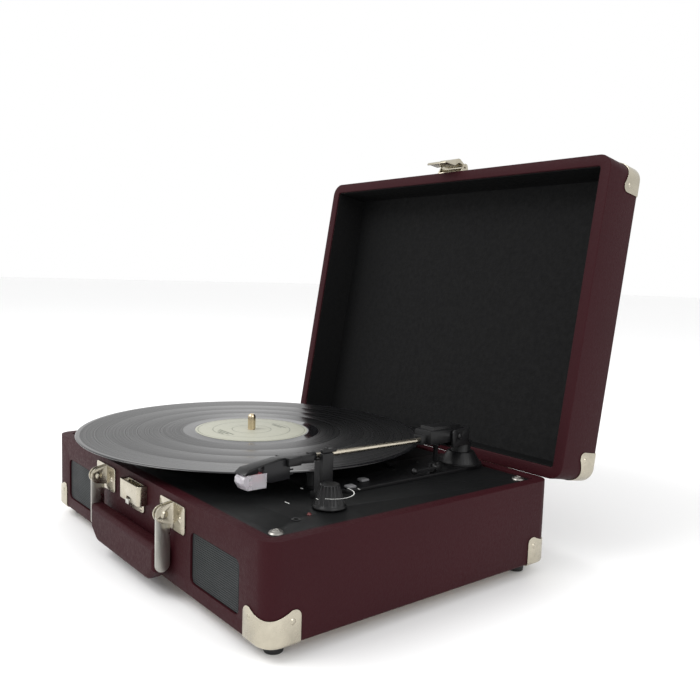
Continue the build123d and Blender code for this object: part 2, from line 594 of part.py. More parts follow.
# ---- controls on the deck ----
PLATE_X0 = 90.0
PLATE_X1 = 121.0
PLATE_Y0 = -28.0
PLATE_Y1 = 123.2
SPEED_AT = (116.0, -20.0)
STOP_AT = (107.0, 0.0)
SWITCH_TRAVEL = 3.0
CUE_R = 34.0
CUE_LIFT = 1.5
LEVER_X = 117.5
LEVER_Y = 67.0
LEVER_Z = PLATE_TOP + 4.0


def arm_point(s, off=0.0):
    """A point beside the arm in plan: s ahead of the swing axis, off to the right."""
    a = math.radians(ARM_YAW)
    return (ARM_X + s * math.sin(a) + off * math.cos(a), ARM_Y - s * math.cos(a) + off * math.sin(a))


def make_mechanism_plate():
    front = Pos((PLATE_X0 + PLATE_X1) / 2, (PLATE_Y0 + PLATE_Y1) / 2, DECK_Z)
    plate = front * extrude(RectangleRounded(PLATE_X1 - PLATE_X0, PLATE_Y1 - PLATE_Y0, 5), 2.5)
    wide = Pos(97.5, 86.6, DECK_Z) * extrude(RectangleRounded(47, 73.2, 5), 2.5)
    plate = plate + wide
    cue_x, cue_y = arm_point(CUE_R)
    guide = rod_z(cue_x, cue_y, DECK_Z, PLATE_TOP + 6, 4)
    lever_boss = block(LEVER_X - 4.8, LEVER_X - 2.4, LEVER_Y - 4, LEVER_Y + 4, PLATE_TOP - 0.5, LEVER_Z + 3)
    plate = joined([plate, guide, lever_boss])
    plate = plate - rod_z(cue_x, cue_y, DECK_Z - 1, PLATE_TOP + 8, 2.05)
    plate = plate - rod_x(LEVER_X - 6, LEVER_X, LEVER_Y, LEVER_Z, 1.55)
    for x, y in (SPEED_AT, STOP_AT):
        travel = SWITCH_TRAVEL
        plate = plate - block(x - 2.2, x + 2.2, y - travel - 2.4, y + travel + 2.4, DECK_Z - 1, PLATE_TOP + 1)
    for x, y in ((86, 78), (84, 112)):
        plate = plate + dome(x, y, PLATE_TOP, 2.6, 1.0, (0, 0, 1))
    nodes["mechanism_plate"] = plate
    for name, (x, y) in (("speed_slider", SPEED_AT), ("auto_stop_slider", STOP_AT)):
        stem = block(x - 1.8, x + 1.8, y - 2.0, y + 2.0, DECK_Z + 0.4, PLATE_TOP + 1)
        tip = block(x - 3.0, x + 3.0, y - 3.6, y + 3.6, PLATE_TOP + 0.3, PLATE_TOP + 2.1)
        nodes[name] = stem + fillet(tip.edges().group_by(Axis.Z)[-1], 0.8)


def make_knob():
    """A tapered control knob with grip ribs and a pointer ridge."""
    z0 = DECK_Z + 1.2
    height = 15.6
    body = cone_z(KNOB_X, KNOB_Y, z0 + 1.6, z0 + height, 10.9, 6.65)
    skirt = cone_z(KNOB_X, KNOB_Y, z0, z0 + 1.6, 12.0, 11.2)
    body = fillet((body + skirt).edges().group_by(Axis.Z)[-1], 1.0)
    for i in range(18):
        angle = i * 20.0
        groove = Pos(KNOB_X, KNOB_Y, z0 + height / 2 + 1.2) * Rot(0, 0, angle) * Pos(8.9, 0, 0)
        body = body - groove * Rot(0, -16.9, 0) * Cylinder(0.7, 13)
    pointer = block(KNOB_X - 0.5, KNOB_X + 0.5, KNOB_Y - 6.4, KNOB_Y - 2, z0 + height - 0.4, z0 + height + 0.4)
    shaft = rod_z(KNOB_X, KNOB_Y, DECK_Z - 11, z0 + 2, 3.0)
    nodes["volume_knob"] = joined([body, pointer, shaft])


def make_arm_rest():
    s = 159.5
    x, y = arm_point(s)
    saddle = ARM_Z + s * math.sin(math.radians(ARM_TILT)) - TUBE_R - 1.0
    frame = Pos(x, y, 0) * Rot(0, 0, ARM_YAW)
    base = block(-6, 6.6, -5, 5, DECK_Z, DECK_Z + 5)
    stem = block(-3.2, 6.6, -4, 4, DECK_Z, saddle)
    trough = rod_y(0, -6, 6, saddle + 1.2, 2.4)
    column = block(2.9, 6.6, -5, 5, DECK_Z, saddle + 5.1)
    rest = joined([base, stem, column]) - trough
    pin_x = 4.75
    pin_top = saddle + 5.5
    rest = rest + rod_z(pin_x, 0, saddle + 3, pin_top + 3.4, 1.2)
    nodes["arm_rest"] = frame * rest
    clip = block(pin_x - 1.85, pin_x + 1.85, -5, 5, pin_top, pin_top + 2.6)
    clip = clip + block(pin_x - 1.85, pin_x + 1.85, 5, 8.6, pin_top, pin_top + 2.6)
    clip = fillet(clip.edges().filter_by(Axis.Z), 1.2) - rod_z(pin_x, 0, pin_top - 1, pin_top + 5, 1.25)
    nodes["arm_clip"] = frame * clip


# ---- tonearm ----
def swung():
    """Frame of the swinging yoke: origin on the swing axis, -Y ahead along the arm."""
    return Pos(ARM_X, ARM_Y, ARM_Z) * Rot(0, 0, ARM_YAW)


def tilted():
    """Frame of the arm itself, along the tube's line."""
    return swung() * Rot(-ARM_TILT, 0, 0)


def lift_axis():
    """Lift axis in the yoke's frame."""
    a = math.radians(ARM_TILT)
    return (-LIFT_S * math.cos(a) + LIFT_UP * math.sin(a), LIFT_S * math.sin(a) + LIFT_UP * math.cos(a))


def make_tonearm():
    floor_z = BASE_Z + 84.6
    turret = rod_z(0, 0, PLATE_TOP, PLATE_TOP + 1.5, 17.5)
    turret = turret + cone_z(0, 0, PLATE_TOP + 1.5, BASE_Z + 77, 16.5, 11)
    turret = turret + rod_z(0, 0, BASE_Z + 76, floor_z - 0.3, 8)
    turret = turret - rod_z(0, 0, DECK_Z, floor_z, 4.05) - block(-30, 30, 13.7, 30, 0, floor_z)
    nodes["tonearm_base"] = Pos(ARM_X, ARM_Y, 0) * turret
    ly, lz = lift_axis()
    floor = floor_z - ARM_Z
    foot = block(-11, 11, -26, -4, floor, floor + 1.4)
    foot = fillet(foot.edges().filter_by(Axis.Z), 3)
    yoke = [foot, rod_z(0, 0, floor, floor + 1.4, 8.5), rod_z(0, 0, PLATE_TOP + 1 - ARM_Z, floor + 1, 4.0)]
    yoke.append(block(-11, 11, -7.0, -4.5, floor, lz + 6))
    for side in (-1, 1):
        x0 = side * 9.4
        x1 = side * 11.0
        cheek = block(min(x0, x1), max(x0, x1), -26, -4.5, floor + 1, lz + 6)
        yoke.append(fillet(cheek.edges().filter_by(Axis.X).group_by(Axis.Z)[-1], 4))
    yoke = joined(yoke) - rod_x(-15, 15, ly, lz, 1.55)
    nodes["arm_yoke"] = swung() * yoke
    carrier = block(-8.6, 8.6, -51, -10, CARRIER_LOW, 8.2)
    carrier = fillet(carrier.edges().filter_by(Axis.Y).group_by(Axis.Z)[-1], 2)
    carrier = carrier + block(-6.6, 6.6, -46, -12, 8.0, 10.6)
    carrier = carrier + block(-4.2, 4.2, -57, -50, -2.9, 4.5)
    carrier = carrier - rod_y(0, -60, -30, 0, TUBE_R)
    axle = rod_x(-11.4, 11.4, -LIFT_S, LIFT_UP, 1.5)
    heads = [dome(s * 11.3, -LIFT_S, LIFT_UP, 2.6, 1.1, (s, 0, 0)) for s in (-1, 1)]
    nodes["arm_carrier"] = tilted() * joined([carrier, axle] + heads)
    tube = rod_y(0, -176, -30, 0, TUBE_R)
    nodes["arm_tube"] = tilted() * tube


HEAD_S = 172.0
HEAD_END = 230.5


def side_shape(points, half_width):
    """A profile in the arm's length and height, given as (s, z), made equally thick about its middle."""
    outline = Polyline(*[(s, z) for s, z in points], close=True)
    plane = Plane(origin=(0, 0, 0), x_dir=(0, -1, 0), z_dir=(-1, 0, 0))
    return extrude(plane * make_face(outline), half_width, both=True)


def make_head():
    shell = side_shape([(HEAD_S, 2.2), (201, 2.6), (226.6, -1.4), (HEAD_END, -4.6), (HEAD_END - 0.4, -4.9),
                        (203, -4.9), (198, -3.0), (HEAD_S, -3.0)], 7.4)
    pocket = side_shape([(190, 1.2), (201, 1.4), (225.8, -2.4), (228.4, -6), (228.4, -20), (190, -20)], 4.9)
    for side in (-1, 1):
        shell = shell - Pos(side * 10.2, -HEAD_END, 0) * Rot(0, 0, side * 4) * Box(9, 70, 40)
        shell = shell - Pos(side * 10.6, -HEAD_S, 0) * Rot(0, 0, side * -9) * Box(9, 26, 40)
    collar = rod_y(0, -HEAD_S - 1, -HEAD_S + 5, 0, 3.2)
    shell = (shell + collar) - pocket - rod_y(0, -176, -150, 0, TUBE_R)
    nodes["headshell"] = tilted() * shell
    body = side_shape([(192, 4), (214, 4), (214, -9.0), (209, -12.5), (192, -12.0)], 4.4) & pocket
    pins = [rod_y(x, -192.5, -187.5, z, 0.6) for x in (-2, 2) for z in (-6.4, -9.4)]
    nodes["cartridge"] = tilted() * joined([body] + pins)
    stylus = side_shape([(214, -5.6), (219, -7.0), (219, -11.5), (214, -10.4)], 2.6)
    lever = Pos(0, -219.6, -11.6) * Rot(12, 0, 0) * Box(0.9, 8, 0.9)
    tip = cone_z(0, -222.6, -14.2, -11.9, 0.25, 0.6)
    nodes["stylus"] = tilted() * joined([stylus, lever, tip])
    outer = side_shape([(212, -5.3), (228.6, -5.3), (230.6, -7.6), (230.6, -10.6), (227.4, -15.2), (212, -15.2)], 5.1)
    inner = side_shape([(210, -3.0), (228.0, -3.0), (229.8, -7.9), (229.8, -10.3), (226.9, -14.6), (210, -14.6)], 4.7)
    guard = outer - inner
    nodes["stylus_guard"] = tilted() * guard


def make_cue():
    """The cue lever beside the arm, and the curved bar that it lifts under the arm."""
    x, y = arm_point(CUE_R)
    bar_top = ARM_Z + CUE_R * math.sin(math.radians(ARM_TILT)) + CARRIER_LOW - CUE_LIFT - 0.3
    outer = rod_z(0, 0, bar_top - 1.6, bar_top, CUE_R + 2.2)
    inner = rod_z(0, 0, bar_top - 3, bar_top + 1, CUE_R - 2.2)
    sector = Pos(0, 0, bar_top) * extrude(make_face(Polyline((0, 0), (5, -60), (-60, -69), close=True)), 4, both=True)
    bar = Pos(ARM_X, ARM_Y, 0) * Rot(0, 0, ARM_YAW) * ((outer - inner) & sector)
    stem = rod_z(x, y, PLATE_TOP + 0.5, bar_top, 2.0)
    nodes["cue_bar"] = bar + stem
    lever = rod_x(LEVER_X - 2.0, LEVER_X + 3.5, LEVER_Y, LEVER_Z, 2.8)
    lever = lever + rod_x(LEVER_X - 4.8, LEVER_X, LEVER_Y, LEVER_Z, 1.5)
    handle = block(LEVER_X - 1.0, LEVER_X + 2.5, LEVER_Y - 24, LEVER_Y, LEVER_Z - 1.2, LEVER_Z + 1.2)
    tip = Pos(LEVER_X + 0.75, LEVER_Y - 24, LEVER_Z) * Sphere(2.6)
    nodes["cue_lever"] = joined([lever, handle, tip])


make_base()
corner_guard = Pos(0, 0, BASE_Z) * make_guard()
nodes["base_guards"] = group([turned(corner_guard, sx, sy) for sx, sy in CORNERS])
nodes["speaker_grille_right"] = make_grille(1)
nodes["speaker_grille_left"] = make_grille(-1)
make_speakers()
make_brackets()
make_handle()
make_keeper()
make_case_nails()
make_hinges()
make_lid()
make_lid_hardware()
make_deck()
make_electronics()
make_drive()
make_platter()
make_mechanism_plate()
make_knob()
make_arm_rest()
make_tonearm()
make_head()
make_cue()

os.makedirs("parts", exist_ok=True)
for name, shape in nodes.items():
    export_step(Pos(-BOX_X, -BOX_Y, 0) * shape, "parts/" + name + ".step")
print(len(nodes), "nodes")
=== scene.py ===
import json
import math
import bmesh
import bpy
from mathutils import Matrix, Vector


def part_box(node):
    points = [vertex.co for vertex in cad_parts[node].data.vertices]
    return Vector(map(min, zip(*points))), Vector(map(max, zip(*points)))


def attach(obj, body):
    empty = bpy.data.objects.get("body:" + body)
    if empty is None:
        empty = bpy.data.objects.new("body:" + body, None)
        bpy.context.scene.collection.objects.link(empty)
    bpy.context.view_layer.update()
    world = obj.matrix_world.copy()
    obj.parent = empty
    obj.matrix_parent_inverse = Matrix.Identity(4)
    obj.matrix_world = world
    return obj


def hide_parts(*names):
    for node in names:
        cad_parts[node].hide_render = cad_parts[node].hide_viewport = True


# Suitcase record player, opened, with a 12 inch record on it. Metres, in the frame of the CAD model.
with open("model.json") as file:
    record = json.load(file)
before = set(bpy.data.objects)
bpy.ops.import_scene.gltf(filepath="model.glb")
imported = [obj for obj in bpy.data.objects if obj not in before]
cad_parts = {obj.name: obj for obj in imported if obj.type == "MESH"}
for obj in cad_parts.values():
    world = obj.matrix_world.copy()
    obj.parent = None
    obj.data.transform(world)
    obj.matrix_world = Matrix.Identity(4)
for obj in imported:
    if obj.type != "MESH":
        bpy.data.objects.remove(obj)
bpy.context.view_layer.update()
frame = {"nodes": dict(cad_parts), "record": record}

MM = 0.001
RECORD = frame["record"]
SLOT_OF = {part["node"]: part["material_slot"] for part in RECORD["subparts"]}
BODY_OF = {node: body for body, nodes in RECORD["behaviour"]["bodies"].items() for node in nodes}
SCENE = bpy.context.scene


# ---- materials ----
class Shader:
    """A node material with one Principled shader, built up a piece at a time."""

    def __init__(self, name, color, roughness, metallic=0.0):
        self.material = bpy.data.materials.new(name)
        self.material.use_nodes = True
        self.tree = self.material.node_tree
        self.surface = self.tree.nodes["Principled BSDF"]
        self.set("Base Color", (*color, 1.0))
        self.set("Roughness", roughness)
        self.set("Metallic", metallic)
        self.coordinates = self.node("ShaderNodeTexCoord").outputs["Object"]
        self.normal = None

    def node(self, kind, **settings):
        new = self.tree.nodes.new(kind)
        for key, value in settings.items():
            setattr(new, key, value)
        return new

    def link(self, source, target):
        self.tree.links.new(source, target)

    def set(self, socket, value):
        self.surface.inputs[socket].default_value = value

    def noise(self, scale, detail=3.0, roughness=0.5, vector=None):
        texture = self.node("ShaderNodeTexNoise")
        texture.inputs["Scale"].default_value = scale
        texture.inputs["Detail"].default_value = detail
        texture.inputs["Roughness"].default_value = roughness
        self.link(vector or self.coordinates, texture.inputs["Vector"])
        return texture.outputs["Fac"]

    def cells(self, scale, feature="F1"):
        texture = self.node("ShaderNodeTexVoronoi", feature=feature)
        texture.inputs["Scale"].default_value = scale
        self.link(self.coordinates, texture.inputs["Vector"])
        return texture.outputs["Distance"]

    def math(self, operation, a, b=None):
        new = self.node("ShaderNodeMath", operation=operation)
        for socket, value in zip(new.inputs, (a, b)):
            if value is None:
                continue
            if isinstance(value, (int, float)):
                socket.default_value = value
            else:
                self.link(value, socket)
        return new.outputs[0]

    def spread(self, source, low, high, out_low, out_high):
        """source from low..high to out_low..out_high, held at the ends."""
        new = self.node("ShaderNodeMapRange")
        for name, value in (("From Min", low), ("From Max", high), ("To Min", out_low), ("To Max", out_high)):
            new.inputs[name].default_value = value
        self.link(source, new.inputs["Value"])
        return new.outputs["Result"]

    def mix_color(self, factor, color_a, color_b):
        """Base colour that goes from color_a to color_b with factor."""
        new = self.node("ShaderNodeMix", data_type="RGBA")
        new.inputs[6].default_value = (*color_a, 1.0)
        new.inputs[7].default_value = (*color_b, 1.0)
        self.link(factor, new.inputs[0])
        self.link(new.outputs[2], self.surface.inputs["Base Color"])

    def bump(self, height, distance, strength=1.0):
        new = self.node("ShaderNodeBump")
        new.inputs["Strength"].default_value = strength
        new.inputs["Distance"].default_value = distance
        self.link(height, new.inputs["Height"])
        if self.normal:
            self.link(self.normal, new.inputs["Normal"])
        self.normal = new.outputs["Normal"]
        self.link(self.normal, self.surface.inputs["Normal"])

    def rough(self, source, low, high):
        self.link(self.spread(source, 0.3, 0.7, low, high), self.surface.inputs["Roughness"])


def leatherette():
    """Maroon embossed covering: small pebbled grain with a faint variation of colour."""
    shader = Shader("leatherette", (0.026, 0.0042, 0.0064), 0.5)
    wide = shader.noise(9.0, 2.0)
    shader.mix_color(wide, (0.023, 0.0035, 0.0054), (0.032, 0.0052, 0.0078))
    grain = shader.cells(1050.0, "SMOOTH_F1")
    fine = shader.noise(2600.0, 2.0)
    shader.bump(shader.math("ADD", grain, shader.math("MULTIPLY", fine, 0.5)), 0.00022, 0.55)
    shader.rough(shader.noise(420.0, 3.0), 0.46, 0.60)
    shader.set("Specular IOR Level", 0.10)
    return shader.material


def lining():
    """Black paper-backed lining with a coarse leather emboss."""
    shader = Shader("lining", (0.0035, 0.0036, 0.0038), 0.66)
    shader.bump(shader.cells(620.0), 0.0003, 0.5)
    shader.rough(shader.noise(240.0), 0.60, 0.76)
    shader.set("Specular IOR Level", 0.12)
    return shader.material


def moulding(name, color, roughness, texture=0.00006, scale=2400.0, gloss=0.3):
    """Injection moulded plastic with a spark-eroded surface."""
    shader = Shader(name, color, roughness)
    shader.bump(shader.noise(scale, 2.0), texture, 0.6)
    shader.rough(shader.noise(60.0, 4.0), roughness * 0.88, roughness * 1.12)
    shader.set("Specular IOR Level", gloss)
    return shader.material


def metal(name, color, roughness, brushed=None, tarnish=0.15):
    """Plated or plain metal, with handling marks in its gloss."""
    shader = Shader(name, color, roughness, metallic=1.0)
    if brushed:
        stretch = shader.node("ShaderNodeMapping")
        stretch.inputs["Scale"].default_value = brushed
        shader.link(shader.coordinates, stretch.inputs["Vector"])
        lines = shader.noise(300.0, 3.0, vector=stretch.outputs["Vector"])
        shader.bump(lines, 0.00004, 0.5)
    worn = shader.noise(85.0, 5.0, 0.6)
    dull = tuple(channel * (1 - tarnish) for channel in color)
    shader.mix_color(shader.spread(worn, 0.35, 0.65, 0.0, 1.0), color, dull)
    shader.rough(worn, roughness * 0.8, roughness * 1.35)
    return shader.material


def wood(name, light, dark, scale):
    shader = Shader(name, light, 0.75)
    stretch = shader.node("ShaderNodeMapping")
    stretch.inputs["Scale"].default_value = (1.0, 9.0, 9.0)
    shader.link(shader.coordinates, stretch.inputs["Vector"])
    streaks = shader.noise(scale, 6.0, 0.6, vector=stretch.outputs["Vector"])
    shader.mix_color(streaks, light, dark)
    shader.bump(streaks, 0.0001, 0.5)
    return shader.material


def rubber():
    shader = Shader("rubber", (0.008, 0.008, 0.008), 0.68)
    shader.bump(shader.noise(1500.0, 2.0), 0.00005, 0.6)
    shader.rough(shader.noise(90.0), 0.6, 0.78)
    return shader.material


def milky():
    """Clear styrene gone slightly milky."""
    shader = Shader("guard", (0.86, 0.83, 0.87), 0.22)
    shader.set("Transmission Weight", 0.72)
    shader.set("IOR", 1.45)
    shader.bump(shader.noise(700.0, 2.0), 0.00003, 0.4)
    shader.rough(shader.noise(120.0), 0.16, 0.30)
    return shader.material


def lamp():
    shader = Shader("led", (0.10, 0.008, 0.008), 0.2)
    shader.rough(shader.noise(300.0), 0.15, 0.28)
    return shader.material


def board():
    """Green solder mask with lighter copper runs below it."""
    shader = Shader("circuit", (0.01, 0.10, 0.035), 0.35)
    runs = shader.spread(shader.cells(260.0), 0.2, 0.3, 0.0, 1.0)
    shader.mix_color(runs, (0.012, 0.12, 0.045), (0.008, 0.075, 0.03))
    shader.rough(shader.noise(200.0), 0.3, 0.45)
    return shader.material


def vinyl():
    """Record surface: fine grooves round the spindle that stretch its reflections."""
    shader = Shader("vinyl", (0.006, 0.006, 0.0065), 0.22)
    tangent = shader.node("ShaderNodeTangent", direction_type="RADIAL", axis="Z")
    shader.link(tangent.outputs["Tangent"], shader.surface.inputs["Tangent"])
    parts = shader.node("ShaderNodeSeparateXYZ")
    shader.link(shader.coordinates, parts.inputs[0])
    across = shader.math("MULTIPLY", parts.outputs["X"], parts.outputs["X"])
    along = shader.math("MULTIPLY", parts.outputs["Y"], parts.outputs["Y"])
    radius = shader.math("SQRT", shader.math("ADD", across, along))
    cut = shader.node("ShaderNodeTexNoise", noise_dimensions="1D")
    cut.inputs["Scale"].default_value = 900.0
    cut.inputs["Detail"].default_value = 4.0
    shader.link(radius, cut.inputs["W"])
    shader.bump(cut.outputs["Fac"], 0.00004, 0.35)
    shader.link(shader.spread(cut.outputs["Fac"], 0.3, 0.7, 0.24, 0.34), shader.surface.inputs["Roughness"])
    shader.set("Anisotropic", 0.75)
    shader.set("Specular IOR Level", 0.6)
    return shader.material


def dead_wax():
    shader = Shader("vinyl_smooth", (0.007, 0.007, 0.008), 0.1)
    shader.rough(shader.noise(60.0, 3.0), 0.07, 0.14)
    return shader.material


def paper(name, color):
    shader = Shader(name, color, 0.55)
    shade = tuple(channel * 0.93 for channel in color)
    shader.mix_color(shader.noise(160.0, 4.0), color, shade)
    shader.bump(shader.noise(1800.0, 3.0), 0.00002, 0.5)
    shader.rough(shader.noise(220.0), 0.48, 0.62)
    return shader.material


def fabric_cone():
    shader = Shader("cone", (0.02, 0.02, 0.02), 0.85)
    shader.bump(shader.noise(900.0, 4.0), 0.00012, 0.7)
    shader.rough(shader.noise(300.0), 0.8, 0.92)
    return shader.material


MATERIALS = {
    "leatherette": leatherette(),
    "board": wood("board", (0.42, 0.31, 0.19), (0.34, 0.24, 0.14), 160.0),
    "softwood": wood("softwood", (0.60, 0.44, 0.26), (0.48, 0.32, 0.17), 60.0),
    "liner": lining(),
    "deck": moulding("deck", (0.0050, 0.0053, 0.0055), 0.46, 0.00008, 1900.0, 0.16),
    "grille": moulding("grille", (0.014, 0.017, 0.018), 0.5),
    "nickel": metal("nickel", (0.50, 0.46, 0.37), 0.24),
    "steel": metal("steel", (0.50, 0.49, 0.45), 0.30, brushed=(6.0, 6.0, 0.2)),
    "brass": metal("brass", (0.62, 0.43, 0.17), 0.26),
    "rubber": rubber(),
    "basket": moulding("basket", (0.02, 0.02, 0.02), 0.4),
    "cone": fabric_cone(),
    "circuit": board(),
    "potentiometer": metal("potentiometer", (0.42, 0.42, 0.42), 0.4),
    "jack": moulding("jack", (0.012, 0.012, 0.012), 0.38),
    "led": lamp(),
    "arm_plastic": moulding("arm_plastic", (0.006, 0.006, 0.0065), 0.36),
    "arm_metal": metal("arm_metal", (0.70, 0.64, 0.52), 0.24, brushed=(6.0, 0.2, 6.0)),
    "cartridge": moulding("cartridge", (0.010, 0.010, 0.011), 0.3),
    "stylus": moulding("stylus", (0.42, 0.06, 0.08), 0.35),
    "guard": milky(),
    "knob": moulding("knob", (0.007, 0.007, 0.0075), 0.38),
    "switch": moulding("switch", (0.16, 0.16, 0.165), 0.45),
    "platter": moulding("platter", (0.008, 0.008, 0.0085), 0.4),
    "vinyl": vinyl(),
    "label": paper("label", (0.40, 0.40, 0.33)),
    "chrome": metal("chrome", (0.70, 0.58, 0.40), 0.14, tarnish=0.08),
}
SMOOTH_VINYL = dead_wax()
PRINT_WHITE = paper("print_white", (0.62, 0.62, 0.60))
PRINT_DARK = paper("print_dark", (0.10, 0.11, 0.08))
DULL_SCREW = metal("dull_screw", (0.30, 0.29, 0.27), 0.32)


# ---- mesh helpers ----
PLAIN_ANGLE = 34.0      # degrees over which an edge stays sharp, for each kind of mesh
BEVELLED_ANGLE = 40.0
TURNED_ANGLE = 50.0
BEVEL_ANGLE = 32.0      # degrees over which an edge is rounded
FLAT_ANGLE = 0.6        # degrees under which neighbouring faces become one
SAME_POINT = 2e-6


def add_object(name, mesh, body, slot, material=None):
    item = bpy.data.objects.new(name, mesh)
    SCENE.collection.objects.link(item)
    mesh.materials.clear()
    mesh.materials.append(material or MATERIALS[slot])
    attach(item, body)
    return item


def soften(mesh, angle):
    mesh.shade_smooth()
    mesh.set_sharp_from_angle(angle=math.radians(angle))


def baked(item, mesh_name):
    """The object's mesh with its modifiers applied."""
    graph = bpy.context.evaluated_depsgraph_get()
    mesh = bpy.data.meshes.new_from_object(item.evaluated_get(graph))
    mesh.name = mesh_name
    return mesh


def refined(node, width, segments, material=None, merge=True):
    """A copy of a CAD piece with rounded edges, shown in its place. merge joins flat neighbours first."""
    mesh = frame["nodes"][node].data.copy()
    bm = bmesh.new()
    bm.from_mesh(mesh)
    bmesh.ops.remove_doubles(bm, verts=bm.verts, dist=SAME_POINT)
    if merge:
        bmesh.ops.dissolve_limit(bm, angle_limit=math.radians(FLAT_ANGLE), verts=bm.verts, edges=bm.edges)
    bm.to_mesh(mesh)
    bm.free()
    item = bpy.data.objects.new(node + "_shown", mesh)
    SCENE.collection.objects.link(item)
    bevel = item.modifiers.new("edge", "BEVEL")
    bevel.width = width * MM
    bevel.segments = segments
    bevel.limit_method = "ANGLE"
    bevel.angle_limit = math.radians(BEVEL_ANGLE)
    bevel.harden_normals = False
    final = baked(item, node + "_shown")
    bpy.data.objects.remove(item)
    soften(final, BEVELLED_ANGLE)
    shown = add_object(node + "_shown", final, BODY_OF[node], SLOT_OF[node], material)
    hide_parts(node)
    return shown


def lathe(name, profile, centre, body, slot, steps):
    """A turned piece from (radius, height) points about an upright axis through centre."""
    bm = bmesh.new()
    rings = []
    for radius, height in profile:
        ring = []
        for i in range(steps):
            angle = 2 * math.pi * i / steps
            ring.append(bm.verts.new((radius * math.cos(angle), radius * math.sin(angle), height)))
        rings.append(ring)
    for low, high in zip(rings, rings[1:]):
        for i in range(steps):
            j = (i + 1) % steps
            bm.faces.new((low[i], low[j], high[j], high[i]))
    mesh = bpy.data.meshes.new(name)
    bmesh.ops.recalc_face_normals(bm, faces=bm.faces)
    bm.to_mesh(mesh)
    bm.free()
    soften(mesh, TURNED_ANGLE)
    item = bpy.data.objects.new(name, mesh)
    SCENE.collection.objects.link(item)
    item.location = centre
    mesh.materials.append(MATERIALS[slot])
    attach(item, body)
    return item


# ---- plain CAD pieces ----
for node, item in frame["nodes"].items():
    item.data.materials.clear()
    item.data.materials.append(MATERIALS[SLOT_OF[node]])
    soften(item.data, PLAIN_ANGLE)

# ---- pieces with real rounded edges: the edge's width in millimetres and its segments ----
EDGES = {
    "case_covering": (0.9, 3), "lid_covering": (0.9, 3), "lid_liner": (0.4, 2), "deck_panel": (0.35, 2),
    "base_guards": (0.22, 2), "lid_guards": (0.22, 2), "handle_brackets": (0.3, 2), "handle_arms": (0.35, 2),
    "latch_keeper": (0.35, 2), "latch_leaf": (0.25, 2), "latch_hasp": (0.3, 2), "latch_slider": (0.3, 2),
    "hinge_case_leaves": (0.25, 2), "hinge_lid_leaves": (0.25, 2), "mechanism_plate": (0.4, 2),
    "arm_rest": (0.4, 2), "arm_clip": (0.4, 2), "arm_yoke": (0.4, 2), "arm_carrier": (0.5, 2),
    "headshell": (0.35, 2), "cartridge": (0.3, 2), "stylus_guard": (0.12, 1), "tonearm_base": (0.4, 2),
    "cue_bar": (0.3, 2), "cue_lever": (0.3, 2), "speed_slider": (0.3, 2), "auto_stop_slider": (0.3, 2),
    "rear_jack_plate": (0.4, 2), "rubber_feet": (0.5, 2), "platter": (0.5, 2), "volume_knob": (0.18, 1),
    "speaker_grille_left": (0.12, 1), "speaker_grille_right": (0.12, 1),
}
FRAMED = {"lid_covering", "lid_liner"}      # their rim faces have an opening, so they are not merged
for node, (width, segments) in EDGES.items():
    refined(node, width, segments, merge=node not in FRAMED)
refined("deck_screws", 0.15, 1, material=DULL_SCREW)

# ---- the record ----
low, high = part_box("record_disc")
spindle_x = (low.x + high.x) / 2
spindle_y = (low.y + high.y) / 2
record_r = (high.x - low.x) / 2
thick = high.z - low.z
hole_r = 3.65 * MM
BEAD_DROP = 0.12 * MM                   # playing surface below the edge bead
TRACK_GAPS = (124.0, 101.0, 80.0)       # radii of the bands between tracks, in millimetres
DEAD_WAX_R = 61.0
LEAD_IN_R = 147.5
RECORD_STEPS = 360
LABEL_STEPS = 192


def record_profile():
    """Raised edge bead, lead-in, four tracks with shallow bands between, dead wax and the label's bed."""
    play = thick - BEAD_DROP
    top = [(record_r - 0.9 * MM, thick), (record_r - 2.2 * MM, thick), (record_r - 3.6 * MM, play)]
    for edge in TRACK_GAPS:
        for step, drop in ((0.5, 0.0), (0.3, 0.03), (-0.3, 0.03), (-0.5, 0.0)):
            top.append(((edge + step) * MM, play - drop * MM))
    top += [(60.5 * MM, play), (53.0 * MM, play), (51.5 * MM, thick), (50.2 * MM, thick), (50.0 * MM, play)]
    rim = [(record_r - 0.9 * MM, 0.0), (record_r - 0.25 * MM, 0.25 * MM), (record_r, 0.5 * thick),
           (record_r - 0.25 * MM, thick - 0.25 * MM)]
    return [(hole_r, 0.0)] + rim + top + [(hole_r, play), (hole_r, 0.0)]


disc = lathe("record_disc_shown", record_profile(), (spindle_x, spindle_y, low.z), "record", "vinyl",
             RECORD_STEPS)
disc.data.materials.append(SMOOTH_VINYL)
for face in disc.data.polygons:
    radius = math.hypot(face.center.x, face.center.y) / MM
    if radius < DEAD_WAX_R or radius > LEAD_IN_R:
        face.material_index = 1
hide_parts("record_disc")

label_low, label_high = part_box("record_label")
label_t = label_high.z - label_low.z
label_r = (label_high.x - label_low.x) / 2
label_edge = label_r - 0.1 * MM
label_profile = [(hole_r, 0), (label_edge, 0), (label_r, label_t / 2), (label_edge, label_t * 0.9),
                 (hole_r, label_t * 0.9), (hole_r, 0)]
label = lathe("record_label_shown", label_profile, (spindle_x, spindle_y, label_low.z), "record", "label",
              LABEL_STEPS)
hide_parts("record_label")


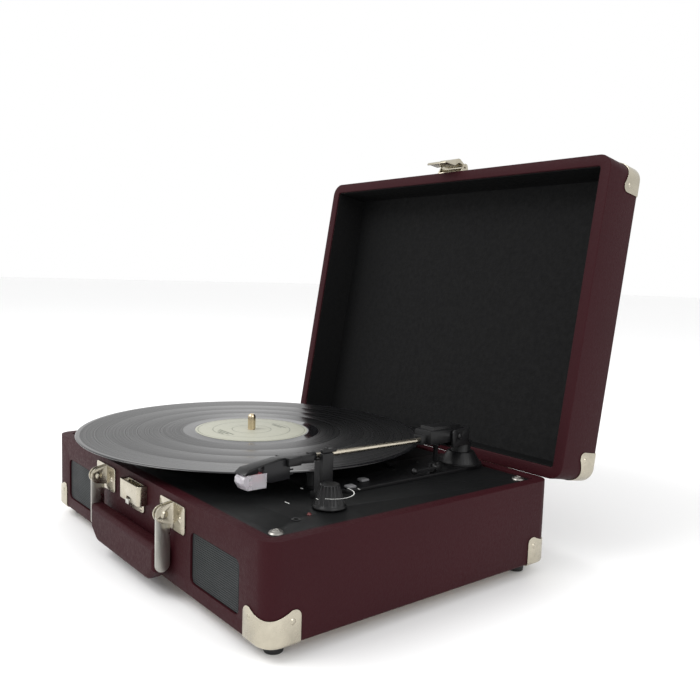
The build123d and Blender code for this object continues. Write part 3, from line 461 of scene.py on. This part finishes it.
def flat_bar(points, width, z, name, body, slot, material):
    """A printed line of even width along points, lying flat at height z."""
    bm = bmesh.new()
    left = []
    right = []
    for i, point in enumerate(points):
        before = Vector(points[max(i - 1, 0)])
        after = Vector(points[min(i + 1, len(points) - 1)])
        run = (after - before).normalized()
        side = Vector((-run.y, run.x)) * width / 2
        left.append(bm.verts.new((point[0] + side.x, point[1] + side.y, z)))
        right.append(bm.verts.new((point[0] - side.x, point[1] - side.y, z)))
    for i in range(len(points) - 1):
        bm.faces.new((right[i], right[i + 1], left[i + 1], left[i]))
    mesh = bpy.data.meshes.new(name)
    bm.to_mesh(mesh)
    bm.free()
    return add_object(name, mesh, body, slot, material)


def arc(cx, cy, radius, start, end, steps):
    angles = [math.radians(start + (end - start) * i / steps) for i in range(steps + 1)]
    return [(cx + radius * math.cos(a), cy + radius * math.sin(a)) for a in angles]


# ---- print on the label and the deck: lines only, with no lettering ----
RING_LINE = 0.5 * MM
RULE_LINE = 1.5 * MM
DECK_LINE = 0.7 * MM
RINGS = (47.6, 34.5, 17.5)
print_z = label_high.z - 0.004 * MM
for i, radius in enumerate(RINGS):
    flat_bar(arc(spindle_x, spindle_y, radius * MM, 0, 360, 120), RING_LINE, print_z, "label_ring_%d" % i,
             "record", "label", PRINT_DARK)


def on_deck(x, y):
    """A place on the deck, from millimetres about the middle of the case."""
    return (CASE_X + x * MM, CASE_Y + y * MM)


case_low, case_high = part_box("case_covering")
CASE_X = (case_low.x + case_high.x) / 2
CASE_Y = (case_low.y + case_high.y) / 2
deck_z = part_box("deck_panel")[1].z + 0.02 * MM
flat_bar(arc(*on_deck(145.7, -61.7), 15.6 * MM, -52.0, 95.0, 40), DECK_LINE, deck_z, "volume_arc", "case",
         "deck", PRINT_WHITE)
# each mark's place and length
MARKS = [(149.2, -99.6, 5.0), (153.0, -78.6, 2.4), (127.9, -72.9, 2.6), (149.7, -40.7, 2.6)]
for i, (x, y, length) in enumerate(MARKS):
    ends = [on_deck(x - length / 2, y), on_deck(x + length / 2, y)]
    flat_bar(ends, DECK_LINE, deck_z, "deck_mark_%d" % i, "case", "deck", PRINT_WHITE)
# each rule's distance from the spindle and its length
RULES = [(30.0, 22.0), (27.2, 15.0), (-26.0, 24.0), (-29.0, 18.0), (-32.0, 10.0)]
for i, (offset, length) in enumerate(RULES):
    rule_y = spindle_y + offset * MM
    ends = [(spindle_x - length / 2 * MM, rule_y), (spindle_x + length / 2 * MM, rule_y)]
    flat_bar(ends, RULE_LINE, print_z, "label_rule_%d" % i, "record", "label", PRINT_DARK)

# ---- floor, light and camera ----
bpy.ops.mesh.primitive_plane_add(size=30.0, location=(0, 0, 0))
floor = bpy.context.object
floor.name = "floor"
paint = Shader("floor", (0.94, 0.94, 0.94), 0.7)
paint.rough(paint.noise(3.0), 0.65, 0.75)
floor.data.materials.append(paint.material)

world = bpy.data.worlds.new("studio")
SCENE.world = world
world.use_nodes = True
world.node_tree.nodes["Background"].inputs["Color"].default_value = (1.0, 1.0, 1.0, 1.0)
world.node_tree.nodes["Background"].inputs["Strength"].default_value = 1.0
SCENE.view_settings.view_transform = "Standard"
SCENE.view_settings.look = "None"


def softbox(name, place, aim, size, power):
    light = bpy.data.lights.new(name, "AREA")
    light.shape = "RECTANGLE"
    light.size = size[0]
    light.size_y = size[1]
    light.energy = power
    lamp_object = bpy.data.objects.new(name, light)
    SCENE.collection.objects.link(lamp_object)
    lamp_object.location = place
    lamp_object.rotation_euler = (Vector(aim) - Vector(place)).to_track_quat("-Z", "Y").to_euler()


softbox("key", (-0.6, -1.6, 1.9), (0, 0, 0.1), (1.6, 1.2), 34.0)
softbox("side", (1.9, -0.1, 1.2), (0, 0, 0.1), (1.2, 1.2), 12.0)

CAMERA_AT = Vector((0.53545, -0.40819, 0.23115))
YAW = math.radians(51.674)
PITCH = math.radians(-5.938)
ROLL = math.radians(1.772)
ahead = Vector((-math.sin(YAW) * math.cos(PITCH), math.cos(YAW) * math.cos(PITCH), math.sin(PITCH)))
level = Vector((math.cos(YAW), math.sin(YAW), 0))
up = level.cross(ahead)
right = math.cos(ROLL) * level + math.sin(ROLL) * up
up = -math.sin(ROLL) * level + math.cos(ROLL) * up
lens = bpy.data.cameras.new("camera")
lens.lens = 38.97
lens.shift_x = 0.0258
lens.shift_y = 0.0058
lens.clip_start = 0.01
camera = bpy.data.objects.new("camera", lens)
SCENE.collection.objects.link(camera)
camera.matrix_world = Matrix((
    (right.x, up.x, -ahead.x, CAMERA_AT.x),
    (right.y, up.y, -ahead.y, CAMERA_AT.y),
    (right.z, up.z, -ahead.z, CAMERA_AT.z),
    (0, 0, 0, 1)))
SCENE.camera = camera
